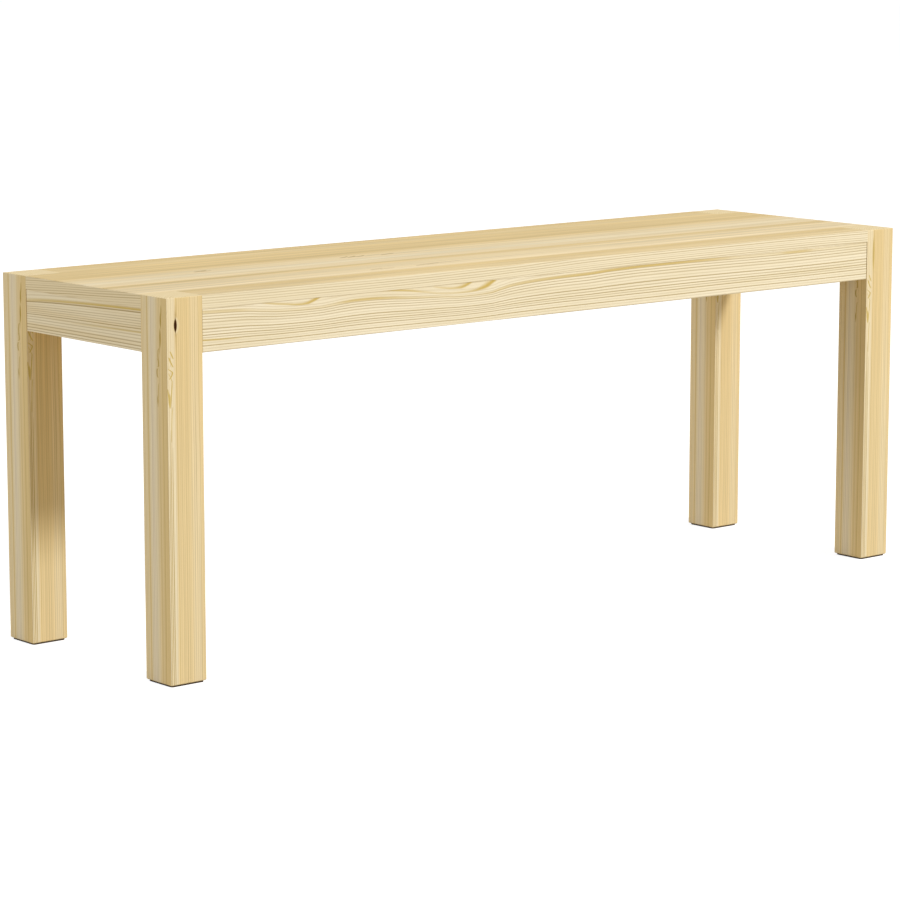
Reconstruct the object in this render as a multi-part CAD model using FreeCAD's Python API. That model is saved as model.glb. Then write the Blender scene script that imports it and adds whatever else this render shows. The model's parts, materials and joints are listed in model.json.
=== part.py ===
import FreeCAD, Part
import math
import os

# Solid pine bench: four square corner legs, four aprons and a seat of edge-glued staves that lies
# flush between the leg tops. Under the seat, corner blocks with hanger bolts pull each leg against
# its two aprons, and two cross rails carry the staves.
# Millimetres. Origin on the floor under the middle of the seat, +X along the bench to the right,
# +Y to the back, +Z up.

Vector = FreeCAD.Vector
ROOT_TWO = math.sqrt(2.0)

# Whole bench
bench_length = 1200.0
bench_depth = 337.0
seat_height = 450.0
edge_radius = 1.0

# Room around fasteners and tenons, and beyond their ends
fit_clearance = 0.05
bore_end_gap = 1.0

# Bolts, screws and their bores are drawn with this many flats, washers with more
round_sides = 12
washer_sides = 24

# Legs and the felt glides under them
leg_width = 50.0
foot_chamfer = 1.0
bolt_flat_width = 14.0
glide_thickness = 2.0
glide_inset = 2.0
glide_corner_radius = 3.0

# Seat
seat_thickness = 16.0
inner_stave_count = 3

# Aprons
apron_height = 50.0
apron_thickness = 22.0
apron_setback = 0.6
apron_end_chamfer = 0.6

# Cross rails, with a stub tenon at each end
rail_offset = 190.0
rail_thickness = 20.0
rail_rise = 10.0
tenon_length = 10.0
tenon_thickness = 10.0
tenon_shoulder = 8.0

# Corner blocks
block_thickness = 22.0
block_rise = 12.0
block_leg_gap = 2.0
block_blunt = 6.0

# Hanger bolts with washer and nut
bolt_diameter = 8.0
bolt_leg_depth = 34.0
bolt_block_clearance = 0.5
bolt_end_chamfer = 1.0
bolt_stub = 5.0
washer_diameter = 24.0
washer_thickness = 2.0
nut_across_flats = 13.0
nut_height = 6.5

# Screws: corner block to apron, and up into the seat
screw_diameter = 4.0
screw_head_diameter = 8.0
screw_head_height = 2.6
screw_tip_length = 5.0
screw_head_bevel = 1.2
screw_hole_clearance = 0.25
screw_head_clearance = 0.75
block_screw_length = 25.0
block_screw_grip = 12.0
seat_screw_length = 30.0
seat_screw_cover = 5.0
seat_screw_offset = 24.0

# Levels and planes that the pieces share
half_length = bench_length / 2.0
half_depth = bench_depth / 2.0
leg_face_x = half_length - leg_width
leg_face_y = half_depth - leg_width
seat_underside = seat_height - seat_thickness
apron_bottom = seat_underside - apron_height
apron_outer_x = half_length - apron_setback
apron_outer_y = half_depth - apron_setback
apron_inner_x = apron_outer_x - apron_thickness
apron_inner_y = apron_outer_y - apron_thickness
rail_bottom = apron_bottom + rail_rise
block_bottom = apron_bottom + block_rise
block_middle = (block_bottom + seat_underside) / 2.0
inner_stave_width = 2.0 * leg_face_y / inner_stave_count
seat_screw_bite = seat_thickness - seat_screw_cover
seat_screw_seat = seat_underside + seat_screw_bite - seat_screw_length

# Distances along the diagonal of a corner, from where the two apron inner faces would meet
leg_corner_reach = ROOT_TWO * (leg_width - apron_setback - apron_thickness)
bolt_flat_reach = leg_corner_reach - bolt_flat_width / 2.0
block_near = leg_corner_reach + block_leg_gap
block_far = block_near + block_thickness

# The four corners, and the sides of the bench that each one is on
corners = {
    "front_left": (-1, -1),
    "front_right": (1, -1),
    "rear_left": (-1, 1),
    "rear_right": (1, 1),
}


def mirrored(shape, side_x, side_y):
    """A shape drawn in the rear right quarter, set in the quarter with these signs."""
    if side_x < 0:
        shape = shape.mirror(Vector(0, 0, 0), Vector(1, 0, 0))
    if side_y < 0:
        shape = shape.mirror(Vector(0, 0, 0), Vector(0, 1, 0))
    return shape


def in_all_corners(shapes):
    """Every shape of the rear right corner, repeated in all four corners."""
    return [mirrored(shape, *sides) for sides in corners.values() for shape in shapes]


def board(low, high):
    """A square-edged board between two opposite corners."""
    size = high - low
    return Part.makeBox(size.x, size.y, size.z, low)


def prism(points, height):
    """An upright prism on a closed outline of points."""
    return Part.Face(Part.makePolygon(points + [points[0]])).extrude(Vector(0, 0, height))


def edges_where(shape, test):
    """The edges whose middle point passes the test."""
    return [edge for edge in shape.Edges if test(edge.CenterOfMass)]


def same(first, second):
    return abs(first - second) < 1e-6


def rounded_square(centre, width, radius):
    """A closed outline: a level square with rounded corners."""
    half = width / 2.0
    turns = [(1, 1), (-1, 1), (-1, -1), (1, -1)]
    pieces = []
    for index, (side_x, side_y) in enumerate(turns):
        corner = centre + Vector(side_x * half, side_y * half, 0)
        pivot = corner - Vector(side_x * radius, side_y * radius, 0)
        bulge = pivot + Vector(side_x, side_y, 0) * (radius / ROOT_TWO)
        on_x = pivot + Vector(side_x * radius, 0, 0)
        on_y = pivot + Vector(0, side_y * radius, 0)
        first, last = (on_x, on_y) if index % 2 == 0 else (on_y, on_x)
        pieces.append((first, bulge, last))
    edges = []
    for index, (first, bulge, last) in enumerate(pieces):
        edges.append(Part.Arc(first, bulge, last).toShape())
        edges.append(Part.makeLine(last, pieces[(index + 1) % 4][0]))
    return Part.Wire(edges)


def turned(profile, sides=round_sides):
    """A piece turned about Z, with flats, from a closed profile of radius and height pairs.

    The profile is drawn upwards along the outside.
    """
    angles = [2.0 * math.pi * side / sides for side in range(sides + 1)]
    rings = [
        [Vector(radius * math.cos(angle), radius * math.sin(angle), height) for angle in angles]
        for radius, height in profile
    ]
    faces = []
    for low, high in zip(rings, rings[1:] + rings[:1]):
        for side in range(sides):
            points = [low[side], low[side + 1], high[side + 1], high[side]]
            points = [point for index, point in enumerate(points) if point != points[index - 1]]
            if len(points) > 2:
                faces.append(Part.Face(Part.makePolygon(points + [points[0]])))
    return Part.Solid(Part.Shell(faces))


def placed(shape, position, direction):
    """A piece drawn along Z, set at a position with its Z axis along a direction."""
    shape = shape.copy()
    shape.Placement = FreeCAD.Placement(position, FreeCAD.Rotation(UP, direction))
    return shape


def bore(mouth, direction, depth, radius):
    """The space of a hole whose flats stand at the radius."""
    corner = radius / math.cos(math.pi / round_sides)
    return placed(turned([(0, 0), (corner, 0), (corner, depth), (0, depth)]), mouth, direction)


def on_diagonal(reach, level, sideways=0.0):
    """A point of the rear right corner, reach along its diagonal and sideways off it."""
    return Vector(
        apron_inner_x - (reach + sideways) / ROOT_TWO,
        apron_inner_y - (reach - sideways) / ROOT_TWO,
        level,
    )


INWARD = Vector(-1, -1, 0).normalize()
OUTWARD = Vector(1, 1, 0).normalize()
UP = Vector(0, 0, 1)
ALONG_X = Vector(1, 0, 0)
ALONG_Y = Vector(0, 1, 0)


# Where the fasteners of the rear right corner stand

def block_screw_reach():
    """Distance of the block's end screws from the corner, along each apron's inner face."""
    return (ROOT_TWO * block_near + ROOT_TWO * block_far - block_blunt) / 2.0


def block_screw_seats():
    """Head seats of the block's end screws, each with the way its screw is driven."""
    reach = block_screw_reach()
    return [
        (Vector(apron_inner_x - reach, apron_inner_y - block_screw_grip, block_middle), ALONG_Y),
        (Vector(apron_inner_x - block_screw_grip, apron_inner_y - reach, block_middle), ALONG_X),
    ]


def block_seat_screw_seats():
    middle = (block_near + block_far) / 2.0
    return [on_diagonal(middle, seat_screw_seat, side * seat_screw_offset) for side in (-1, 1)]


def rail_seat_screw_seats():
    """One screw up into each inner stave from the right cross rail."""
    first_row = -leg_face_y + inner_stave_width / 2.0
    rows = [first_row + index * inner_stave_width for index in range(inner_stave_count)]
    return [Vector(rail_offset, row, seat_screw_seat) for row in rows]


# Wooden pieces

def make_leg():
    """The rear right leg. Below the aprons all its long edges are rounded, above only the outer one."""
    centre = Vector(half_length - leg_width / 2.0, half_depth - leg_width / 2.0, glide_thickness)
    shoulder = centre + Vector(0, 0, foot_chamfer)
    sole = rounded_square(centre, leg_width - 2.0 * foot_chamfer, edge_radius)
    full = rounded_square(shoulder, leg_width, edge_radius)
    foot = Part.makeLoft([sole, full], True, True)
    shaft = Part.Face(full).extrude(Vector(0, 0, apron_bottom - shoulder.z))
    head = board(Vector(leg_face_x, leg_face_y, apron_bottom), Vector(half_length, half_depth, seat_height))
    outer = edges_where(head, lambda p: (
        (same(p.x, half_length) and same(p.y, half_depth))
        or (same(p.z, seat_height) and (same(p.x, half_length) or same(p.y, half_depth)))
    ))
    head = head.makeFillet(edge_radius, outer)
    leg = foot.fuse([shaft, head]).removeSplitter()

    # A flat planed on the inner corner, where the hanger bolt goes in square
    flat_span = bolt_flat_width / ROOT_TWO
    flat = prism([
        Vector(leg_face_x, leg_face_y, block_bottom),
        Vector(leg_face_x + flat_span, leg_face_y, block_bottom),
        Vector(leg_face_x, leg_face_y + flat_span, block_bottom),
    ], seat_underside - block_bottom)
    bolt_mouth = on_diagonal(leg_corner_reach, block_middle)
    bolt_bore_depth = bolt_flat_width / 2.0 + bolt_leg_depth + bore_end_gap
    bolt_bore = bore(bolt_mouth, OUTWARD, bolt_bore_depth, bolt_diameter / 2.0 + fit_clearance)
    return leg.cut([flat, bolt_bore])


def make_glide():
    centre = Vector(half_length - leg_width / 2.0, half_depth - leg_width / 2.0, 0)
    outline = rounded_square(centre, leg_width - 2.0 * glide_inset, glide_corner_radius)
    return Part.Face(outline).extrude(Vector(0, 0, glide_thickness))


def rounded_below(piece, level):
    """A board with its long bottom edges rounded."""
    box = piece.BoundBox
    longest = max(box.XLength, box.YLength)
    bottom = [
        edge for edge in edges_where(piece, lambda p: same(p.z, level)) if same(edge.Length, longest)
    ]
    return piece.makeFillet(edge_radius, bottom)


def rail_tenon(side_room=0.0, end_room=0.0):
    """The right cross rail's tenon in the rear apron, or with room added, its mortise."""
    half = tenon_thickness / 2.0 + side_room
    return board(
        Vector(rail_offset - half, apron_inner_y, rail_bottom + tenon_shoulder - side_room),
        Vector(
            rail_offset + half,
            apron_inner_y + tenon_length + end_room,
            seat_underside - tenon_shoulder + side_room,
        ),
    )


def make_long_apron():
    """The rear apron, between the two rear legs."""
    apron = board(
        Vector(-leg_face_x, apron_inner_y, apron_bottom), Vector(leg_face_x, apron_outer_y, seat_underside)
    )
    apron = rounded_below(apron, apron_bottom)
    end = prism([
        Vector(leg_face_x, apron_outer_y, apron_bottom),
        Vector(leg_face_x - apron_end_chamfer, apron_outer_y, apron_bottom),
        Vector(leg_face_x, apron_outer_y - apron_end_chamfer, apron_bottom),
    ], apron_height)
    cuts = [end, rail_tenon(fit_clearance, bore_end_gap)]
    for seat, direction in block_screw_seats():
        if direction == ALONG_Y:
            depth = block_screw_length + bore_end_gap
            cuts.append(bore(seat, direction, depth, screw_diameter / 2.0 + fit_clearance))
    cuts = cuts + [mirrored(cut, -1, 1) for cut in cuts]
    return apron.cut(cuts)


def make_end_apron():
    """The right apron, between the two right legs."""
    apron = board(
        Vector(apron_inner_x, -leg_face_y, apron_bottom), Vector(apron_outer_x, leg_face_y, seat_underside)
    )
    apron = rounded_below(apron, apron_bottom)
    end = prism([
        Vector(apron_outer_x, leg_face_y, apron_bottom),
        Vector(apron_outer_x - apron_end_chamfer, leg_face_y, apron_bottom),
        Vector(apron_outer_x, leg_face_y - apron_end_chamfer, apron_bottom),
    ], apron_height)
    cuts = [end]
    for seat, direction in block_screw_seats():
        if direction == ALONG_X:
            depth = block_screw_length + bore_end_gap
            cuts.append(bore(seat, direction, depth, screw_diameter / 2.0 + fit_clearance))
    cuts = cuts + [mirrored(cut, 1, -1) for cut in cuts]
    return apron.cut(cuts)


def seat_screw_bores():
    """Pilot holes of all the seat screws, up into the staves."""
    depth = seat_screw_length + bore_end_gap
    radius = screw_diameter / 2.0 + fit_clearance
    bores = in_all_corners([bore(seat, UP, depth, radius) for seat in block_seat_screw_seats()])
    for seat in rail_seat_screw_seats():
        bores.append(bore(seat, UP, depth, radius))
        bores.append(mirrored(bores[-1], -1, 1))
    return bores


def make_outer_stave():
    """The rear stave, as wide as a leg, between the two rear legs."""
    stave = board(
        Vector(-leg_face_x, leg_face_y, seat_underside), Vector(leg_face_x, half_depth, seat_height)
    )
    front = edges_where(stave, lambda p: same(p.y, half_depth) and same(p.z, seat_height))
    return stave.makeFillet(edge_radius, front).cut(seat_screw_bores())


def make_inner_stave(index):
    """A full-length stave, counted from the front."""
    low = -leg_face_y + index * inner_stave_width
    stave = board(
        Vector(-half_length, low, seat_underside), Vector(half_length, low + inner_stave_width, seat_height)
    )
    ends = edges_where(stave, lambda p: same(abs(p.x), half_length) and same(p.z, seat_height))
    return stave.makeFillet(edge_radius, ends).cut(seat_screw_bores())


def make_cross_rail():
    """The right cross rail, between the inner faces of the long aprons."""
    half = rail_thickness / 2.0
    rail = board(
        Vector(rail_offset - half, -apron_inner_y, rail_bottom),
        Vector(rail_offset + half, apron_inner_y, seat_underside),
    )
    rail = rounded_below(rail, rail_bottom)
    rail = rail.fuse([rail_tenon(), mirrored(rail_tenon(), 1, -1)])
    cuts = []
    for seat in rail_seat_screw_seats():
        cuts.extend(screw_passage(seat, UP, seat_underside - seat.z, seat.z - rail_bottom))
    return rail.cut(cuts)


def make_corner_block():
    """A block mitred across the rear right corner, with blunt tips against both aprons."""
    near = ROOT_TWO * block_near
    far = ROOT_TWO * block_far
    tip = far - block_blunt
    outline = [(near, 0), (tip, 0), (tip, block_blunt), (block_blunt, tip), (0, tip), (0, near)]
    points = [Vector(apron_inner_x - across, apron_inner_y - deep, block_bottom) for across, deep in outline]
    block = prism(points, seat_underside - block_bottom)
    cuts = [bore(
        on_diagonal(block_far, block_middle), OUTWARD, block_thickness,
        bolt_diameter / 2.0 + bolt_block_clearance,
    )]
    for seat, direction in block_screw_seats():
        cuts.extend(screw_passage(seat, direction, block_screw_grip, block_thickness))
    for seat in block_seat_screw_seats():
        cuts.extend(screw_passage(seat, UP, seat_underside - seat.z, seat.z - block_bottom))
    return block.cut(cuts)


# Fasteners

def screw_passage(seat, direction, grip, recess):
    """The clearance hole ahead of a screw's head seat, and the recess behind it for the head."""
    hole = bore(seat, direction, grip, screw_diameter / 2.0 + screw_hole_clearance)
    head = bore(seat, -direction, recess, screw_head_diameter / 2.0 + screw_head_clearance)
    return [hole, head]


def make_screw(length):
    """A pan-head screw along Z: its head rests on 0 and its point is at length."""
    head = screw_head_diameter / 2.0
    crown = head - screw_head_bevel
    shank = screw_diameter / 2.0
    return turned([
        (0, -screw_head_height), (crown, -screw_head_height), (head, screw_head_bevel - screw_head_height),
        (head, 0), (shank, 0), (shank, length - screw_tip_length), (0, length),
    ])


def corner_block_screws():
    screw = make_screw(block_screw_length)
    return in_all_corners([placed(screw, seat, direction) for seat, direction in block_screw_seats()])


def seat_screws():
    screw = make_screw(seat_screw_length)
    shapes = in_all_corners([placed(screw, seat, UP) for seat in block_seat_screw_seats()])
    for seat in rail_seat_screw_seats():
        shapes.append(placed(screw, seat, UP))
        shapes.append(mirrored(shapes[-1], -1, 1))
    return shapes


def hanger_bolts():
    """A stud from inside the leg, through the block, to just past the nut."""
    start = bolt_flat_reach - bolt_leg_depth
    length = block_far + washer_thickness + nut_height + bolt_stub - start
    radius = bolt_diameter / 2.0
    waist = radius - bolt_end_chamfer
    stud = turned([
        (0, 0), (radius, 0), (radius, length - bolt_end_chamfer), (waist, length), (0, length),
    ])
    return in_all_corners([placed(stud, on_diagonal(start, block_middle), INWARD)])


def bolt_washers():
    inner = bolt_diameter / 2.0 + bolt_block_clearance
    outer = washer_diameter / 2.0
    profile = [(inner, 0), (outer, 0), (outer, washer_thickness), (inner, washer_thickness)]
    ring = turned(profile, washer_sides)
    return in_all_corners([placed(ring, on_diagonal(block_far, block_middle), INWARD)])


def bolt_nuts():
    point = nut_across_flats / 2.0 / math.cos(math.radians(30))
    corner_points = [
        Vector(point * math.cos(math.radians(60 * side)), point * math.sin(math.radians(60 * side)), 0)
        for side in range(6)
    ]
    hole = bore(Vector(0, 0, 0), UP, nut_height, bolt_diameter / 2.0 + fit_clearance)
    nut = prism(corner_points, nut_height).cut(hole)
    return in_all_corners([placed(nut, on_diagonal(block_far + washer_thickness, block_middle), INWARD)])


def build():
    """All the pieces by name."""
    pieces = {}
    corner_pieces = {"leg": make_leg(), "felt_glide": make_glide(), "corner_block": make_corner_block()}
    for kind, shape in corner_pieces.items():
        for corner, sides in corners.items():
            pieces[kind + "_" + corner] = mirrored(shape, *sides)
    long_apron = make_long_apron()
    pieces["apron_rear"] = long_apron
    pieces["apron_front"] = mirrored(long_apron, 1, -1)
    end_apron = make_end_apron()
    pieces["apron_right"] = end_apron
    pieces["apron_left"] = mirrored(end_apron, -1, 1)
    outer_stave = make_outer_stave()
    pieces["seat_stave_rear"] = outer_stave
    pieces["seat_stave_front"] = mirrored(outer_stave, 1, -1)
    for index in range(inner_stave_count):
        pieces["seat_stave_inner_" + str(index + 1)] = make_inner_stave(index)
    cross_rail = make_cross_rail()
    pieces["cross_rail_right"] = cross_rail
    pieces["cross_rail_left"] = mirrored(cross_rail, -1, 1)
    groups = {
        "hanger_bolts": hanger_bolts(),
        "bolt_washers": bolt_washers(),
        "bolt_nuts": bolt_nuts(),
        "corner_block_screws": corner_block_screws(),
        "seat_screws": seat_screws(),
    }
    for name, shapes in groups.items():
        pieces[name] = Part.makeCompound(shapes)
    return pieces


os.makedirs("parts", exist_ok=True)
for name, shape in build().items():
    shape.exportStep("parts/" + name + ".step")
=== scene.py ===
import bmesh
import bpy
import json
import math
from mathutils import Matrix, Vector


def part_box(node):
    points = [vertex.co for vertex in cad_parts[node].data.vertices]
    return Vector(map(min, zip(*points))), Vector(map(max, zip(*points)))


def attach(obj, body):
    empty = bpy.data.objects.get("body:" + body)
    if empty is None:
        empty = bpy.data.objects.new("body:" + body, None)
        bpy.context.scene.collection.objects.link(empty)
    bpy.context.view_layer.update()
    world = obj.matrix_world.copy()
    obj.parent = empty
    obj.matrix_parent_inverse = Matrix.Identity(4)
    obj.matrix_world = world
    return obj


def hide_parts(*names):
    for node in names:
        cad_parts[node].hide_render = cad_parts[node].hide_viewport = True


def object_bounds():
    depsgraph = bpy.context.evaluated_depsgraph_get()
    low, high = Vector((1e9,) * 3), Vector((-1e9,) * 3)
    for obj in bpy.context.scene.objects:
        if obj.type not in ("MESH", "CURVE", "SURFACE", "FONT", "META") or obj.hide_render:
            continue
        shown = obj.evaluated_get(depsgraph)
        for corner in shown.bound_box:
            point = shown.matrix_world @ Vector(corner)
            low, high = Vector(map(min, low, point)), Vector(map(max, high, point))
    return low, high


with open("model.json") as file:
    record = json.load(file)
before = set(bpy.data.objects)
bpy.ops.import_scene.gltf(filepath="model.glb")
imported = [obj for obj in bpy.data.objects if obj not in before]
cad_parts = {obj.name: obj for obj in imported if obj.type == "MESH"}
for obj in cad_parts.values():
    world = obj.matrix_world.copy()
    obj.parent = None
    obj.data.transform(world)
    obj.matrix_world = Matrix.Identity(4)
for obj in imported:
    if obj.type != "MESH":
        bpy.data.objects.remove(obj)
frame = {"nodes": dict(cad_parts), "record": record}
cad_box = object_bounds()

# A solid pine bench in soft studio light. Lengths are millimetres in the frame's own axes, x along the
# bench to the right, y to the back and z up, and metres where Blender takes them.

MILLIMETRES = 1000.0
LEFT, FRONT = [value * MILLIMETRES for value in cad_box[0][:2]]
RIGHT, REAR, SEAT_TOP = [value * MILLIMETRES for value in cad_box[1]]

# Pine, as it looks in full light
IVORY = (250, 231, 190)
CREAM = (245, 233, 204)
PARCHMENT = (242, 229, 197)
PALE = (237, 223, 189)
ASH = (229, 215, 186)
BEIGE = (235, 216, 174)
STRAW = (231, 208, 158)
HONEY = (225, 200, 145)
TAN = (217, 192, 137)
APRICOT = (240, 190, 110)
OCHRE = (222, 182, 100)
LATE_WOOD = (183, 159, 106)
DARK_WOOD = (170, 144, 86)
UMBER = (158, 130, 72)
GOLD = (208, 180, 102)
AMBER = (202, 174, 86)
RESIN = (152, 119, 54)
KNOT = (52, 20, 0)

# Hardware and glides
BRIGHT_ZINC = (200, 202, 200)
DULL_ZINC = (156, 158, 156)
PALE_FELT = (92, 76, 62)
DARK_FELT = (58, 46, 38)


def linear(colour):
    """A colour of eight-bit values as a linear one."""
    parts = [part / 255.0 for part in colour]
    parts = [part / 12.92 if part <= 0.04045 else ((part + 0.055) / 1.055) ** 2.4 for part in parts]
    return (*parts, 1.0)


class Field:
    """A value that varies over a surface: a node's socket that can be reckoned with."""

    def __init__(self, surface, socket):
        self.surface = surface
        self.socket = socket

    def reckon(self, operation, *others):
        """The field that a sum with others gives."""
        node = self.surface.node("ShaderNodeMath")
        node.operation = operation
        for entry, value in zip(node.inputs, (self, *others)):
            self.surface.feed(entry, value)
        return Field(self.surface, node.outputs[0])

    def __add__(self, other):
        return self.reckon("ADD", other)

    def __sub__(self, other):
        return self.reckon("SUBTRACT", other)

    def __mul__(self, other):
        return self.reckon("MULTIPLY", other)

    def __truediv__(self, other):
        return self.reckon("DIVIDE", other)

    def __rsub__(self, other):
        return self * -1.0 + other

    def __rmul__(self, other):
        return self * other

    def __abs__(self):
        return self.reckon("ABSOLUTE")

    def floor(self):
        return self.reckon("FLOOR")

    def root(self):
        return self.reckon("SQRT")

    def larger(self, other):
        return self.reckon("MAXIMUM", other)


# Where a mix node has its two colours and the mixed one
MIX_COLOURS = slice(6, 8)
MIX_RESULT = 2


class Surface:
    """A material in the making, with the coordinates of the surface in millimetres."""

    def __init__(self, name):
        self.material = bpy.data.materials.new(name)
        self.material.use_nodes = True
        self.tree = self.material.node_tree
        self.shader = self.tree.nodes["Principled BSDF"]
        place = self.node("ShaderNodeTexCoord")
        scale = self.node("ShaderNodeVectorMath")
        scale.operation = "SCALE"
        scale.inputs["Scale"].default_value = MILLIMETRES
        self.tree.links.new(place.outputs["Object"], scale.inputs[0])
        self.x, self.y, self.z = self.parts(scale.outputs[0])
        self.facing = [abs(part) for part in self.parts(place.outputs["Normal"])]

    def node(self, kind):
        return self.tree.nodes.new(kind)

    def feed(self, entry, value):
        """Gives a node's entry a field or a plain value."""
        if isinstance(value, Field):
            self.tree.links.new(value.socket, entry)
        else:
            entry.default_value = value

    def parts(self, vector):
        """The three parts of a vector as fields."""
        node = self.node("ShaderNodeSeparateXYZ")
        self.tree.links.new(vector, node.inputs[0])
        return [Field(self, output) for output in node.outputs]

    def noise(self, x, y, z, detail=2.0):
        """Smooth noise about zero, with features about one unit of its coordinates wide."""
        place = self.node("ShaderNodeCombineXYZ")
        for entry, value in zip(place.inputs, (x, y, z)):
            self.feed(entry, value)
        node = self.node("ShaderNodeTexNoise")
        node.inputs["Scale"].default_value = 1.0
        node.inputs["Detail"].default_value = detail
        self.tree.links.new(place.outputs[0], node.inputs["Vector"])
        return Field(self, node.outputs["Fac"]) - 0.5

    def dice(self, value):
        """A number from 0 to 1 thrown for each value."""
        node = self.node("ShaderNodeTexWhiteNoise")
        node.noise_dimensions = "1D"
        self.feed(node.inputs["W"], value)
        return Field(self, node.outputs["Value"])

    def step(self, value, low, high):
        """A smooth step from 0 at low to 1 at high."""
        node = self.node("ShaderNodeMapRange")
        node.interpolation_type = "SMOOTHSTEP"
        for entry, number in zip(node.inputs, (value, low, high)):
            self.feed(entry, number)
        return Field(self, node.outputs[0])

    def hump(self, value, centre, reach):
        """1 at the centre, falling smoothly to 0 at the reach on both sides."""
        return 1.0 - self.step(abs(value - centre), 0.0, reach)

    def between(self, share, one, other):
        """One value where the share is 1, the other where it is 0."""
        return one * share + other * (1.0 - share)

    def path(self, along, points):
        """A smooth curve through points of (along, value), level before the first and after the last."""
        first, last = points[0][0], points[-1][0]
        low = min(value for _, value in points)
        high = max(value for _, value in points)
        node = self.node("ShaderNodeFloatCurve")
        node.mapping.extend = "HORIZONTAL"
        curve = node.mapping.curves[0]
        shares = [((at - first) / (last - first), (value - low) / (high - low)) for at, value in points]
        curve.points[0].location = shares[0]
        curve.points[1].location = shares[-1]
        for share in shares[1:-1]:
            curve.points.new(*share)
        node.mapping.update()
        self.feed(node.inputs["Value"], (along - first) / (last - first))
        return Field(self, node.outputs[0]) * (high - low) + low

    def ramp(self, value, stops):
        """A colour that changes smoothly through stops of (value, colour)."""
        first, last = stops[0][0], stops[-1][0]
        node = self.node("ShaderNodeValToRGB")
        elements = node.color_ramp.elements
        while len(elements) < len(stops):
            elements.new(0.5)
        for element, (at, colour) in zip(elements, stops):
            element.position = (at - first) / (last - first)
            element.color = linear(colour)
        self.feed(node.inputs[0], (value - first) / (last - first))
        return Field(self, node.outputs[0])

    def tint(self, colour, other, amount):
        """A colour moved towards another one by an amount from 0 to 1."""
        node = self.node("ShaderNodeMix")
        node.data_type = "RGBA"
        self.feed(node.inputs[0], amount)
        for entry, value in zip(node.inputs[MIX_COLOURS], (colour, other)):
            self.feed(entry, value if isinstance(value, Field) else linear(value))
        return Field(self, node.outputs[MIX_RESULT])

    def brighten(self, colour, amount):
        """A colour times one plus a small amount."""
        node = self.node("ShaderNodeVectorMath")
        node.operation = "SCALE"
        self.feed(node.inputs[0], colour)
        self.feed(node.inputs["Scale"], amount + 1.0)
        return Field(self, node.outputs[0])

    def finish(self, colour, roughness, height, gloss):
        """Ends the material. The height, in millimetres, is felt as relief."""
        self.feed(self.shader.inputs["Base Color"], colour)
        self.feed(self.shader.inputs["Roughness"], roughness)
        self.shader.inputs["Specular IOR Level"].default_value = gloss
        bump = self.node("ShaderNodeBump")
        bump.inputs["Strength"].default_value = 1.0
        bump.inputs["Distance"].default_value = 1.0 / MILLIMETRES
        self.feed(bump.inputs["Height"], height)
        self.tree.links.new(bump.outputs[0], self.shader.inputs["Normal"])
        return self.material


# Bare planed pine
WOOD_GLOSS = 0.06
WOOD_ROUGHNESS = 0.58
FIBRE_ROUGHNESS = 0.16
FIBRE_RELIEF = 0.04
FIBRE_LENGTH = 55.0
FIBRE_WIDTH = 0.7

# Growth rings: how uneven they are, where late wood starts and peaks, and how much the faintest one shows
RING_UNEVENNESS = 1.8
LATE_START = 0.36
LATE_PEAK = 0.84
FAINTEST_RING = 0.25

# Curled grain: the size of a curl, and how far it pushes the grain
CURL_WIDTH = 4.0
CURL_LENGTH = 6.0
CURL_PUSH = 7.0

# The share of a stroke's length over which each of its ends fades
STROKE_FADE = 0.15


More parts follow.
